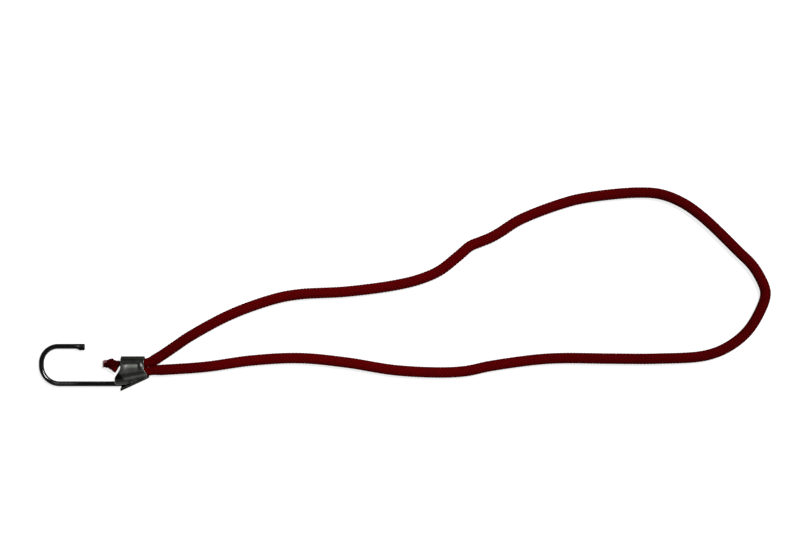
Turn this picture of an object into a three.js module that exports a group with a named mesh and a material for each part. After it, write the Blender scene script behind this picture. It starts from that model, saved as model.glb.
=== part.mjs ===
// A bungee loop: one elastic cord folded in two, its ends crimped with a wire hook in a sheet steel ferrule.
// It lies flat on z = 0, hook to the left and loop to the right. Millimetres, +Z up.
// The origin is on the ferrule's flat back, midway along its fold and between the two cord ends.
import * as THREE from "three";

// Gap kept between pieces that touch on the real object.
const clearance = 0.3;

// Cord: a braided sheath round a core of square cut rubber threads.
const cordDiameter = 6.35;
const sheathWall = 1;
const threadSide = 0.66;
const threadGap = 0.2;
const cordSides = 12;
const boreSides = 8;
const legStep = 16;
const bightStep = 12;
const clampedStep = 4;
const tailStep = 1.5;

// Clamped ends: how far the crimp presses the cord, as shares of its diameter, how deep in the ferrule
// the long tail has that width, and how far past the ferrule the cord is round and down again.
const pressedAcross = 0.785;
const pressedThrough = 0.775;
const relaxLength = 8;
const gripDepth = 3.5;
const landingLength = 50;

// Tails: the long one is drawn in at the ferrule, crushed wide past it and empty of threads at its tip.
// Each row of its shape gives the distance from the tip, the drop from the middle line of the held cord,
// and the section's scale across and through.
const longTail = 10.3;
const tailShape = [
  [0, 0.85, 0.62, 0.62],
  [2.4, 0.65, 0.82, 0.8],
  [4.8, 1, 1.2, 1],
  [6.7, 2.2, 1.25, 1],
  [9.3, 0.5, 0.5, pressedThrough],
  [longTail + gripDepth, 0, pressedAcross, pressedThrough],
];
const longRetreat = 5;
const shortTail = 0.4;
const shortTailDrop = 2.6;
const shortRetreat = 1;

// Hook: round wire bent to a J, with a swaged tip and a kinked end that keys it in the ferrule.
const wireDiameter = 3;
const wireSides = 14;
const wireBendSteps = 6;
const hookReach = 55;
const hookOpening = 19.5;
const hookTipReach = 26;
const upperBendRadius = 10;
const lowerBendRadius = 11;
const kinkRadius = 6;
const kinkLength = 6;
const swageLength = 5.4;
const swageWidening = 0.9;
const shankGap = 3.4;

// Ferrule: one strip of sheet folded over both cords, with its lower edge curled round the wire.
const sheet = 0.9;
const foldRoom = 0.5;
const foldLength = 14;
const lipLeft = -10.7;
const lipRight = 9.1;
const lipBend = 1.4;
const lipOverWire = 0.8;
const lipSag = 2.2;
const lipAngle = 136;
const seamGap = 0.6;
const troughLeft = -7.4;
const troughRight = 9.6;
const cornerDrop = 1.7;
const cornerFlapAngle = 120;
const crimpDepth = 0.5;

// Shares of the way from the fold to the lip between which each end of the strip flares out.
const leftFlare = [0.2, 0.88];
const rightFlare = [0.4, 1];

// Shares of the ferrule's length where the crimp's dent starts and is at its full depth.
const dentStart = 0.1;
const dentFull = 0.3;

// Route of the free loop, seen from above: the upper leg, the far bight and the lower leg.
const upperLegRoute = [
  [10.5, 3.25], [13, 4.5], [17, 6.8], [25, 12.2], [34, 18.3], [59, 31.7], [86, 41.2], [100, 43.7],
  [128, 45.3], [157, 49.1], [172, 52.7], [184, 57.9], [195.5, 66.9], [202.3, 72.6], [208, 75],
  [214, 77.4], [220, 80.7], [232, 88.3], [259, 98.6], [273, 101.8],
];
const bightRoute = [
  [303, 104.7], [317, 103.6], [330, 98.4], [342, 89.8], [362.5, 70.1], [372.5, 59.8],
  [378.9, 47.6], [379.3, 42.4], [376.2, 33.6], [368.7, 21.6], [357.4, 12.4], [343.5, 7], [315, 5.1],
];
const lowerLegRoute = [
  [286, 5.1], [257.5, 5.4], [242, 4.5], [214, 0.6], [200, -2.3], [185.5, -3.2],
  [157, -1.8], [128.5, 2.7], [100, 5.4], [71.5, 4], [43, 0.1], [16, -1.75], [13, -2], [11, -2.33],
  [9, -2.52],
];

// Sizes that follow from the ones above.
const wireRadius = wireDiameter / 2;
const pressedWidth = cordDiameter * pressedAcross;
const pressedThickness = cordDiameter * pressedThrough;
const cordPitch = pressedWidth + clearance;
const cordEdge = (cordPitch + pressedWidth) / 2;
const clampedZ = sheet + clearance + pressedThickness / 2;
const backZ = sheet / 2;
const frontZ = pressedThickness + 2 * clearance + 1.5 * sheet + crimpDepth;
const foldRadius = (frontZ - backZ) / 2;
const foldY = cordEdge + foldRoom + sheet / 2 - foldRadius;
const foldHalf = foldLength / 2;
const wireHold = wireRadius + clearance + sheet / 2;
const wireZ = backZ + wireHold;
const shankY = -(cordEdge + shankGap + wireRadius);
const troughY = shankY - cornerDrop;

const material = (color, roughness, metalness) =>
  new THREE.MeshStandardMaterial({ color, roughness, metalness });

// Smooth step from 0 at low to 1 at high.
const ease = (low, high, value) => THREE.MathUtils.smoothstep(value, low, high);

// Sections and sweeps

// Regular outline whose flats lie on a circle of this radius, with one flat at the bottom.
function flatSidedOutline(radius, sides) {
  const corner = radius / Math.cos(Math.PI / sides);
  const turn = (2 * Math.PI) / sides;
  return Array.from({ length: sides }, (_, i) => {
    const angle = (i + 0.5) * turn - Math.PI / 2;
    return new THREE.Vector2(corner * Math.cos(angle), corner * Math.sin(angle));
  });
}

// A place on a route with its sideways and upward directions, and the section's scale along each.
function station(point, tangent, wide = 1, tall = wide) {
  const side = new THREE.Vector3(0, 0, 1).cross(tangent).normalize();
  const up = tangent.clone().cross(side).normalize();
  return { point, side, up, wide, tall };
}

// Closed solid of one section, with an optional hole, carried through the stations.
function sweep(outline, hole, stations) {
  const loops = hole.length ? [outline, hole.slice().reverse()] : [outline];
  const section = loops.flat();
  const positions = [];
  for (const { point, side, up, wide, tall } of stations) {
    for (const corner of section) {
      const place = point.clone().addScaledVector(side, corner.x * wide).addScaledVector(up, corner.y * tall);
      positions.push(place.x, place.y, place.z);
    }
  }
  const index = [];
  for (let ring = 0; ring + 1 < stations.length; ring += 1) {
    let first = ring * section.length;
    for (const loop of loops) {
      for (let i = 0; i < loop.length; i += 1) {
        const a = first + i;
        const b = first + ((i + 1) % loop.length);
        const c = b + section.length;
        const d = a + section.length;
        index.push(a, b, c, a, c, d);
      }
      first += loop.length;
    }
  }
  const last = (stations.length - 1) * section.length;
  for (const [a, b, c] of THREE.ShapeUtils.triangulateShape(loops[0], loops.slice(1))) {
    index.push(c, b, a, last + a, last + b, last + c);
  }
  return closedGeometry(positions, index);
}

function closedGeometry(positions, index) {
  const geometry = new THREE.BufferGeometry();
  geometry.setAttribute("position", new THREE.Float32BufferAttribute(positions, 3));
  geometry.setIndex(index);
  geometry.computeVertexNormals();
  return geometry;
}

// Cord

const upperY = cordPitch / 2;
const tailTipX = -foldHalf - longTail;

const upperClamp = [
  ...tailShape.map(([fromTip, drop]) => [tailTipX + fromTip, upperY - drop, clampedZ]),
  [foldHalf, upperY, clampedZ],
];
const lowerClamp = [
  [foldHalf, -upperY, clampedZ],
  [0, -upperY, clampedZ],
  [-foldHalf - shortTail, -upperY - shortTailDrop, clampedZ],
];

// The free cord comes down from the height at which it is clamped to the surface that it lies on.
function laid([x, y]) {
  const landed = ease(foldHalf, foldHalf + landingLength, x);
  return [x, y, THREE.MathUtils.lerp(clampedZ, cordDiameter / 2, landed)];
}

const cordRoute = new THREE.CatmullRomCurve3([
  ...upperClamp,
  ...upperLegRoute.map(laid),
  ...bightRoute.map(laid),
  ...lowerLegRoute.map(laid),
  ...lowerClamp,
].map((place) => new THREE.Vector3(...place)));

const tailScale = new THREE.LinearInterpolant(
  tailShape.map(([fromTip]) => fromTip),
  tailShape.flatMap(([, , across, through]) => [across, through]),
  2,
);

// The section's scale across and through the cord: pressed in the ferrule and crushed at the long tail.
function cordScale({ x, y }) {
  const mouth = y > 0 ? foldHalf : troughRight;
  const free = ease(mouth, mouth + relaxLength, x);
  const [across, through] = y > 0 ? tailScale.evaluate(x - tailTipX) : [pressedAcross, pressedThrough];
  return {
    wide: THREE.MathUtils.lerp(across, 1, free),
    tall: THREE.MathUtils.lerp(through, 1, free),
  };
}

// Evenly spread values from one number to another, no further apart than the step.
function spread(from, to, step) {
  const count = Math.ceil((to - from) / step);
  return Array.from({ length: count + 1 }, (_, i) => from + ((to - from) * i) / count);
}

// Stations of the upper leg, the bight and the lower leg, each leg with its clamped end.
function cordStations() {
  const samplesPerSpan = 60;
  const spans = cordRoute.points.length - 1;
  cordRoute.arcLengthDivisions = spans * samplesPerSpan;
  const lengths = cordRoute.getLengths();
  const lengthAtPoint = (i) => lengths[i * samplesPerSpan];
  const total = lengths.at(-1);
  const bightStart = upperClamp.length + upperLegRoute.length;
  const bightEnd = bightStart + bightRoute.length - 1;
  const tailEnd = lengthAtPoint(upperClamp.length - 2);
  const upperFree = lengthAtPoint(upperClamp.length + 2);
  const lowerFree = lengthAtPoint(bightEnd + lowerLegRoute.length - 3);
  const splitA = lengthAtPoint(bightStart);
  const splitB = lengthAtPoint(bightEnd);
  const half = clearance / 2;
  const at = (length) => {
    const t = cordRoute.getUtoTmapping(0, length);
    const point = cordRoute.getPoint(t);
    const { wide, tall } = cordScale(point);
    const inTail = point.x < 0 && point.y > 0;
    const along = inTail ? new THREE.Vector3(1, 0, 0) : cordRoute.getTangent(t);
    point.z = Math.max(point.z, (tall * cordDiameter) / 2);
    return station(point, along, wide, tall);
  };
  const upper = [
    ...spread(0, tailEnd, tailStep),
    ...spread(tailEnd, upperFree, clampedStep).slice(1),
    ...spread(upperFree, splitA - half, legStep).slice(1),
  ];
  const bight = spread(splitA + half, splitB - half, bightStep);
  const lower = [
    ...spread(splitB + half, lowerFree, legStep),
    ...spread(lowerFree, total, clampedStep).slice(1),
  ];
  const threadEnd = total - shortRetreat;
  const place = (values) => values.map(at);
  return {
    upper_leg: { sheath: place(upper), threads: place(upper.filter((length) => length > longRetreat)) },
    bight: { sheath: place(bight), threads: place(bight) },
    lower_leg: {
      sheath: place(lower),
      threads: place([...lower.filter((length) => length < threadEnd), threadEnd]),
    },
  };
}

// Square threads packed in rings from the bore inwards, each turned to face the axis.
function threadOutlines(boreRadius) {
  const half = threadSide / 2;
  const outlines = [];
  const addThread = (radius, angle) => {
    const corners = [[-half, -half], [half, -half], [half, half], [-half, half]];
    outlines.push(corners.map(([x, y]) =>
      new THREE.Vector2(x + radius, y).rotateAround(new THREE.Vector2(), angle)));
  };
  let room = boreRadius - threadGap;
  while (room > Math.hypot(half, half)) {
    const inner = Math.sqrt(room ** 2 - half ** 2) - threadSide;
    const reach = Math.hypot(Math.max(inner, 0), half);
    const halfTurn = Math.atan2(half, inner) + Math.asin(Math.min(1, threadGap / 2 / reach));
    const count = inner > 0 ? Math.floor(Math.PI / halfTurn) : 1;
    for (let i = 0; i < count; i += 1) {
      addThread(count > 1 ? inner + half : 0, (2 * Math.PI * i) / count);
    }
    room = count > 1 ? inner - threadGap : 0;
  }
  return outlines;
}

function makeCord() {
  const cord = new THREE.Group();
  const fabric = material(0x560305, 0.85, 0);
  const rubber = material(0xb89a78, 0.7, 0);
  const boreRadius = cordDiameter / 2 - sheathWall;
  const outline = flatSidedOutline(cordDiameter / 2, cordSides);
  const bore = flatSidedOutline(boreRadius, boreSides);
  const threads = threadOutlines(boreRadius);
  for (const [stretch, stations] of Object.entries(cordStations())) {
    const sheath = new THREE.Mesh(sweep(outline, bore, stations.sheath), fabric);
    sheath.name = `${stretch}_sheath`;
    cord.add(sheath);
    threads.forEach((square, i) => {
      const thread = new THREE.Mesh(sweep(square, [], stations.threads), rubber);
      thread.name = `${stretch}_thread_${String(i + 1).padStart(2, "0")}`;
      cord.add(thread);
    });
  }
  return cord;
}

// Hook

// Slope of the ferrule's lower edge, which the wire's kinked end follows.
const edgeRise = troughY - wireHold + foldY + foldRadius;
const edgeSlope = Math.atan2(-edgeRise, troughRight - troughLeft);
const kinkX = troughLeft + (cornerDrop + wireHold - wireHold / Math.cos(edgeSlope)) / Math.tan(edgeSlope);

function hookPath() {
  const bendX = -hookReach;
  const armY = shankY + hookOpening + wireDiameter;
  const bendLimit = (hookOpening + wireDiameter) / 2;
  const upper = Math.min(upperBendRadius, bendLimit);
  const lower = Math.min(lowerBendRadius, bendLimit);
  const kinkRun = kinkRadius * Math.tan(edgeSlope / 2);
  const quarter = Math.PI / 2;
  const path = new THREE.Path();
  path.moveTo(bendX + hookTipReach, armY);
  path.lineTo(bendX + hookTipReach - swageLength / 2, armY);
  path.lineTo(bendX + hookTipReach - swageLength, armY);
  path.absarc(bendX + upper, armY - upper, upper, quarter, 2 * quarter);
  path.absarc(bendX + lower, shankY + lower, lower, 2 * quarter, 3 * quarter);
  path.absarc(kinkX - kinkRun, shankY + kinkRadius, kinkRadius, -quarter, edgeSlope - quarter);
  path.lineTo(kinkX + kinkLength * Math.cos(edgeSlope), shankY + kinkLength * Math.sin(edgeSlope));
  return path.getPoints(wireBendSteps);
}

// The wire's tip is swaged: wider towards the throat, and thinner by as much.
function makeHook() {
  const places = hookPath();
  const tip = places[0];
  const stations = places.map((place, i) => {
    const before = places[Math.max(i - 1, 0)];
    const after = places[Math.min(i + 1, places.length - 1)];
    const along = after.clone().sub(before).normalize();
    const onArm = place.y === tip.y;
    const swaged = onArm ? 1 - ease(swageLength / 2, swageLength, place.distanceTo(tip)) : 0;
    const wider = (swageWidening * swaged) / wireDiameter;
    const point = new THREE.Vector3(place.x, place.y - (swageWidening * swaged) / 2, 0);
    return station(point, new THREE.Vector3(along.x, along.y, 0), 1 + wider, 1 - wider);
  });
  const steel = material(0x141414, 0.3, 0.9);
  const hook = new THREE.Mesh(sweep(flatSidedOutline(wireRadius, wireSides), [], stations), steel);
  hook.name = "hook";
  hook.position.z = wireZ;
  return hook;
}

// Ferrule

// How finely the strip is drawn, and the powers that shape its dent and its sagging lip.
const bendSteps = 4;
const plateSteps = 5;
const arcSteps = 10;
const lengthSteps = 10;
const dentCurve = 0.5;
const sagCurve = 0.6;

// One end of the strip as points along its middle line, from the front lip over the fold, down the back
// and round the trough to the flap's edge. Each point's x is the cut edge, and out points off the sheet.
function ferruleEnd({ foldX, flare, lip, bendY, trough }) {
  const points = [];
  const add = (x, y, z, angle, more = {}) => {
    const out = new THREE.Vector2(Math.cos(angle), Math.sin(angle));
    points.push({ x, y, z, out, crimp: 0, sag: 0, ...more });
  };
  const straightUp = Math.PI / 2;
  const edgeX = (y) => THREE.MathUtils.lerp(foldX, lip.x, ease(...flare, (foldY - y) / (foldY - lip.y)));
  const lipTilt = Math.atan2(frontZ - lip.z, bendY - lip.y);
  const bend = new THREE.QuadraticBezierCurve(
    new THREE.Vector2(bendY - lipBend * Math.cos(lipTilt), frontZ - lipBend * Math.sin(lipTilt)),
    new THREE.Vector2(bendY, frontZ),
    new THREE.Vector2(bendY + lipBend, frontZ),
  );
  add(lip.x, lip.y, lip.z, straightUp + lipTilt, { sag: 1 });
  bend.getPoints(bendSteps).forEach((place, i) => {
    const tilt = lipTilt * (1 - i / bendSteps);
    add(edgeX(place.x), place.x, place.y, straightUp + tilt);
  });
  for (let i = 1; i < plateSteps; i += 1) {
    const y = THREE.MathUtils.lerp(bendY + lipBend, foldY, i / plateSteps);
    add(edgeX(y), y, frontZ, straightUp, { crimp: Math.sin((Math.PI * i) / plateSteps) ** dentCurve });
  }
  for (let i = 0; i <= arcSteps; i += 1) {
    const angle = straightUp - (Math.PI * i) / arcSteps;
    add(foldX, foldY + foldRadius * Math.cos(angle), backZ + foldRadius * (1 + Math.sin(angle)), angle);
  }
  for (let i = 0; i <= arcSteps; i += 1) {
    const angle = THREE.MathUtils.lerp(-straightUp, trough.flap - 2 * Math.PI, i / arcSteps);
    const z = backZ + trough.radius * (1 + Math.sin(angle));
    add(trough.x, trough.y + trough.radius * Math.cos(angle), z, angle);
  }
  return points;
}

// The strip lofted from its left end to its right, with the crimp tool's dent across the front.
function makeFerrule() {
  const lipTurn = THREE.MathUtils.degToRad(lipAngle);
  const left = ferruleEnd({
    foldX: -foldHalf,
    flare: leftFlare,
    lip: { x: lipLeft, y: shankY + lipOverWire, z: wireZ + wireHold },
    bendY: -cordEdge - clearance,
    trough: {
      x: troughLeft,
      y: troughY,
      radius: wireHold,
      flap: THREE.MathUtils.degToRad(cornerFlapAngle),
    },
  });
  const right = ferruleEnd({
    foldX: foldHalf,
    flare: rightFlare,
    lip: {
      x: lipRight,
      y: -foldY + foldRadius * Math.cos(lipTurn),
      z: backZ + foldRadius * (1 + Math.sin(lipTurn)),
    },
    bendY: -foldY,
    trough: { x: troughRight, y: -foldY, radius: foldRadius, flap: lipTurn + seamGap / foldRadius },
  });
  const outer = [];
  const inner = [];
  left.forEach((from, row) => {
    const to = right[row];
    for (let i = 0; i <= lengthSteps; i += 1) {
      const u = i / lengthSteps;
      const dent = crimpDepth * from.crimp * ease(dentStart, dentFull, u) * ease(dentStart, dentFull, 1 - u);
      const sag = lipSag * from.sag * Math.sin(Math.PI * u ** sagCurve);
      const x = THREE.MathUtils.lerp(from.x, to.x, u);
      const y = THREE.MathUtils.lerp(from.y, to.y, u) - sag;
      const z = THREE.MathUtils.lerp(from.z, to.z, u) - dent;
      const out = from.out.clone().lerp(to.out, u).setLength(sheet / 2);
      outer.push(x, y + out.x, z + out.y);
      inner.push(x, y - out.x, z - out.y);
    }
  });
  const steel = material(0x3a3c39, 0.38, 0.9);
  const ferrule = new THREE.Mesh(thickSheet(outer, inner, left.length - 1, lengthSteps), steel);
  ferrule.name = "ferrule";
  return ferrule;
}

// Closed solid between two grids of points, joined along their four edges.
function thickSheet(outer, inner, rows, columns) {
  const at = (row, column) => row * (columns + 1) + column;
  const under = outer.length / 3;
  const index = [];
  for (let row = 0; row < rows; row += 1) {
    for (let column = 0; column < columns; column += 1) {
      const a = at(row, column);
      const b = at(row, column + 1);
      const c = at(row + 1, column + 1);
      const d = at(row + 1, column);
      index.push(a, b, c, a, c, d);
      index.push(under + a, under + c, under + b, under + a, under + d, under + c);
    }
  }
  const edge = [];
  for (let column = 0; column < columns; column += 1) edge.push(at(0, column));
  for (let row = 0; row < rows; row += 1) edge.push(at(row, columns));
  for (let column = columns; column > 0; column -= 1) edge.push(at(rows, column));
  for (let row = rows; row > 0; row -= 1) edge.push(at(row, 0));
  edge.forEach((a, i) => {
    const b = edge[(i + 1) % edge.length];
    index.push(b, a, under + a, b, under + a, under + b);
  });
  return closedGeometry([...outer, ...inner], index);
}

const bungee = new THREE.Group();
bungee.add(makeHook(), makeFerrule(), makeCord());

export default bungee;
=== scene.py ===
"""Looks of a bungee loop: a braided cord with a rubber core, crimped with a wire hook in a ferrule.

It is laid out as an add-on and run as a script. All sizes are in metres, in the frame of the solids:
the loop lies flat on z = 0, with the hook towards -X and the far end of the loop towards +X.
"""

import math
import random

import bpy
import numpy as np
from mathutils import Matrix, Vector


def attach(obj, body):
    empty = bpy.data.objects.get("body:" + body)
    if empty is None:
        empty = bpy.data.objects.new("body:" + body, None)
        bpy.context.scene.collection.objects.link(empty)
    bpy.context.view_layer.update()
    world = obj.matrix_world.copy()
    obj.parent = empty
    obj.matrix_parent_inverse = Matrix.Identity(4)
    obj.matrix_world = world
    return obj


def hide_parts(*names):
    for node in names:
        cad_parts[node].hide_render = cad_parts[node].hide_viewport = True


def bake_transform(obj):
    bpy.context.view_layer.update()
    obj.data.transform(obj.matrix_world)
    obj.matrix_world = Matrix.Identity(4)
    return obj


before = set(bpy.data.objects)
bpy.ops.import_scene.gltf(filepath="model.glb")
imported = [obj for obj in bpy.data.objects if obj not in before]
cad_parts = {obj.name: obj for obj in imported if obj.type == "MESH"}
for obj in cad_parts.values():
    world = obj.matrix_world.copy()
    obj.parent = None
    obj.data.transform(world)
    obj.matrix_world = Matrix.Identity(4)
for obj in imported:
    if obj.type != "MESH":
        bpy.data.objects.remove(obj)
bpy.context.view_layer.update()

bl_info = {
    "name": "Bungee loop",
    "version": (1, 0, 0),
    "blender": (4, 5, 0),
    "location": "3D View > Sidebar > Bungee",
    "description": "Builds the cord, rubber core, ferrule, hook and stage of a bungee loop",
    "category": "Object",
}

# Gap kept between pieces that touch, as in the solids.
CLEARANCE = 0.0003

# Route of the free loop, seen from above: the upper leg, the far bight and the lower leg.
UPPER_LEG = [
    (0.0105, 0.00325), (0.013, 0.0045), (0.017, 0.0068), (0.025, 0.0122), (0.034, 0.0183),
    (0.059, 0.0317), (0.086, 0.0412), (0.1, 0.0437), (0.128, 0.0453), (0.157, 0.0491),
    (0.172, 0.0527), (0.184, 0.0579), (0.1955, 0.0669), (0.2023, 0.0726), (0.208, 0.075),
    (0.214, 0.0774), (0.22, 0.0807), (0.232, 0.0883), (0.259, 0.0986), (0.273, 0.1018),
]
BIGHT = [
    (0.303, 0.1047), (0.317, 0.1036), (0.33, 0.0984), (0.342, 0.0898), (0.3625, 0.0701),
    (0.3725, 0.0598), (0.3789, 0.0476), (0.3793, 0.0424), (0.3762, 0.0336), (0.3687, 0.0216),
    (0.3574, 0.0124), (0.3435, 0.007), (0.315, 0.0051),
]
LOWER_LEG = [
    (0.286, 0.0051), (0.2575, 0.0054), (0.242, 0.0045), (0.214, 0.0006), (0.2, -0.0023),
    (0.1855, -0.0032), (0.157, -0.0018), (0.1285, 0.0027), (0.1, 0.0054), (0.0715, 0.004),
    (0.043, 0.0001), (0.016, -0.00175), (0.013, -0.002), (0.011, -0.00233), (0.009, -0.00252),
]

# Clamped ends: how far the crimp presses the cord, as shares of its diameter, how deep in the ferrule
# the long tail has that width, and how far past the ferrule the cord is round and down again.
PRESSED_ACROSS = 0.785
PRESSED_THROUGH = 0.775
RELAX_LENGTH = 0.008
GRIP_DEPTH = 0.0035
LANDING_LENGTH = 0.05

# Share of the diameter by which the yarns of a pressed cord swell into the gap to the next one.
YARN_SWELL = 0.035

# Where the legs leave the ferrule side by side, their inner sides swell by this share until they touch.
CROWDING = 0.1
CROWDING_START = (0.006, 0.013)
CROWDING_END = (0.0138, 0.0168)

# Tails: the long one is drawn in at the ferrule, crushed wide past it and empty of threads at its tip.
# Each row of its shape gives the distance from the tip, the drop from the middle line of the held cord,
# and the section's scale across and through.
LONG_TAIL = 0.0103
TAIL_SHAPE = np.array([
    (0, 0.00085, 0.62, 0.62),
    (0.0024, 0.00065, 0.82, 0.8),
    (0.0048, 0.001, 1.2, 1),
    (0.0067, 0.0022, 1.25, 1),
    (0.0093, 0.0005, 0.5, PRESSED_THROUGH),
    (LONG_TAIL + GRIP_DEPTH, 0, PRESSED_ACROSS + YARN_SWELL, PRESSED_THROUGH),
])
LONG_RETREAT = 0.005
SHORT_TAIL = 0.0004
SHORT_TAIL_DROP = 0.0026
SHORT_RETREAT = 0.001

# Hook: bends of the wire, its swaged tip and the kinked end that keys it in the ferrule.
UPPER_BEND = 0.01
LOWER_BEND = 0.011
KINK_RADIUS = 0.006
KINK_LENGTH = 0.006
SWAGE_LENGTH = 0.0054
SWAGE_WIDENING = 0.0009
SHANK_GAP = 0.0034

# Ferrule: its front lip and the trough round the wire, at the left and right ends of the strip.
FOLD_ROOM = 0.0005
LIP_LEFT = -0.0107
LIP_RIGHT = 0.0091
LIP_BEND = 0.0014
LIP_OVER_WIRE = 0.0008
LIP_SAG = 0.0022
LIP_ANGLE = math.radians(136)
SEAM_GAP = 0.0006
TROUGH_LEFT = -0.0074
TROUGH_RIGHT = 0.0096
CORNER_DROP = 0.0017
CORNER_FLAP_ANGLE = math.radians(120)
LEFT_FLARE = (0.2, 0.88)
RIGHT_FLARE = (0.4, 1)
SAG_CURVE = 0.6


# Settings


def length_setting(name, description, default):
    return bpy.props.FloatProperty(
        name=name, description=description, default=default, unit="LENGTH", precision=5
    )


def color_setting(name, description, default):
    return bpy.props.FloatVectorProperty(
        name=name, description=description, default=default, subtype="COLOR"
    )


class CordSettings(bpy.types.PropertyGroup):
    """Sizes and colours of the elastic cord."""

    diameter: length_setting("Diameter", "Diameter of the slack cord", 0.00635)
    length: length_setting("Length", "Length of the whole cord from tip to tip", 0.857)
    wall: length_setting("Sheath wall", "Thickness of the braided sheath", 0.001)
    yarns: bpy.props.IntProperty(
        name="Yarns each way", description="Even number of yarns that wind each way", default=12
    )
    lead: length_setting("Braid lead", "Length in which a yarn winds once round", 0.024)
    relief: length_setting("Yarn relief", "Height of a yarn over the gaps", 0.0004)
    thread_side: length_setting("Thread side", "Side of a square rubber thread", 0.00066)
    thread_gap: length_setting("Thread gap", "Room between the threads", 0.0002)
    yarn_color: color_setting("Yarn colour", "Colour of the braid", (0.125, 0.0005, 0.0012))
    rubber_color: color_setting("Rubber colour", "Colour of the core", (0.48, 0.32, 0.18))


class FerruleSettings(bpy.types.PropertyGroup):
    """Sizes and colour of the folded sheet ferrule."""

    sheet: length_setting("Sheet", "Thickness of the sheet steel", 0.0009)
    fold_length: length_setting("Fold length", "Length of the fold", 0.014)
    crimp_depth: length_setting("Crimp depth", "Depth of the crimp's dent", 0.0005)
    color: color_setting("Colour", "Colour of the plated sheet", (0.1, 0.104, 0.096))


class HookSettings(bpy.types.PropertyGroup):
    """Sizes and colour of the wire hook."""

    wire: length_setting("Wire", "Diameter of the wire", 0.003)
    reach: length_setting("Reach", "From the ferrule's middle to the hook's bend", 0.055)
    opening: length_setting("Opening", "Room between the shank and the tip", 0.0195)
    tip_reach: length_setting("Tip reach", "From the hook's bend to its tip", 0.026)
    color: color_setting("Colour", "Colour of the lacquer", (0.06, 0.06, 0.06))


class StageSettings(bpy.types.PropertyGroup):
    """Camera, floor and light."""

    view_width: length_setting("View width", "Width of the picture at the cord's height", 0.48)
    lens: bpy.props.FloatProperty(name="Lens", description="Focal length", default=85, unit="CAMERA")
    floor_color: color_setting("Floor colour", "Colour of the floor", (0.35, 0.35, 0.35))
    sky_strength: bpy.props.FloatProperty(
        name="Sky strength", description="Strength of the even light from all round", default=0.1
    )
    key_power: bpy.props.FloatProperty(
        name="Key power", description="Power of the softbox", default=60, unit="POWER"
    )


class BungeeSettings(bpy.types.PropertyGroup):
    """All settings of the bungee loop."""

    cord: bpy.props.PointerProperty(type=CordSettings)
    ferrule: bpy.props.PointerProperty(type=FerruleSettings)
    hook: bpy.props.PointerProperty(type=HookSettings)
    stage: bpy.props.PointerProperty(type=StageSettings)


# Sizes that follow from the settings


class Layout:
    """Places that several pieces share, worked out from the settings as in the solids."""

    def __init__(self, settings):
        cord, ferrule, hook = settings.cord, settings.ferrule, settings.hook
        sheet = ferrule.sheet
        self.wire_radius = hook.wire / 2
        pressed_width = cord.diameter * PRESSED_ACROSS
        pressed_thickness = cord.diameter * PRESSED_THROUGH
        cord_pitch = pressed_width + CLEARANCE
        self.cord_edge = (cord_pitch + pressed_width) / 2
        self.upper_y = cord_pitch / 2
        self.clamped_z = sheet + CLEARANCE + pressed_thickness / 2
        self.back_z = sheet / 2
        self.front_z = pressed_thickness + 2 * CLEARANCE + 1.5 * sheet + ferrule.crimp_depth
        self.fold_radius = (self.front_z - self.back_z) / 2
        self.fold_y = self.cord_edge + FOLD_ROOM + sheet / 2 - self.fold_radius
        self.fold_half = ferrule.fold_length / 2
        self.wire_hold = self.wire_radius + CLEARANCE + sheet / 2
        self.wire_z = self.back_z + self.wire_hold
        self.shank_y = -(self.cord_edge + SHANK_GAP + self.wire_radius)
        self.trough_y = self.shank_y - CORNER_DROP
        self.tail_tip_x = -self.fold_half - LONG_TAIL


def smooth_step(low, high, value):
    """Smooth step from 0 at low to 1 at high."""
    t = np.clip((value - low) / (high - low), 0, 1)
    return t * t * (3 - 2 * t)


def within(start, end, value):
    """1 between two soft ends, each given as where it begins and where it is over, and 0 outside."""
    return smooth_step(*start, value) * (1 - smooth_step(*end, value))


def lerp(a, b, share):
    """Value that goes from a to b as share goes from 0 to 1."""
    return a + (b - a) * share


# Meshes


def new_piece(name, points, faces, smooth=True):
    """A mesh object from points and faces, linked to the scene."""
    mesh = bpy.data.meshes.new(name)
    mesh.from_pydata(points, [], faces)
    mesh.polygons.foreach_set("use_smooth", [smooth] * len(mesh.polygons))
    mesh.update()
    piece = bpy.data.objects.new(name, mesh)
    bpy.context.scene.collection.objects.link(piece)
    return piece


def set_attribute(piece, name, values):
    """Stores one number for each point of a mesh, for its material to read."""
    attribute = piece.data.attributes.new(name, "FLOAT", "POINT")
    attribute.data.foreach_set("value", np.asarray(values, np.float32))


def tube_faces(rings, sides, closed=True):
    """Faces of a tube whose points lie ring after ring, with flat ends if it is closed."""
    faces = []
    for ring in range(rings - 1):
        for side in range(sides):
            a = ring * sides + side
            b = ring * sides + (side + 1) % sides
            faces.append((a, b, b + sides, a + sides))
    if closed:
        last = (rings - 1) * sides
        faces.append(tuple(range(sides))[::-1])
        faces.append(tuple(range(last, last + sides)))
    return faces


# Cord


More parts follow.
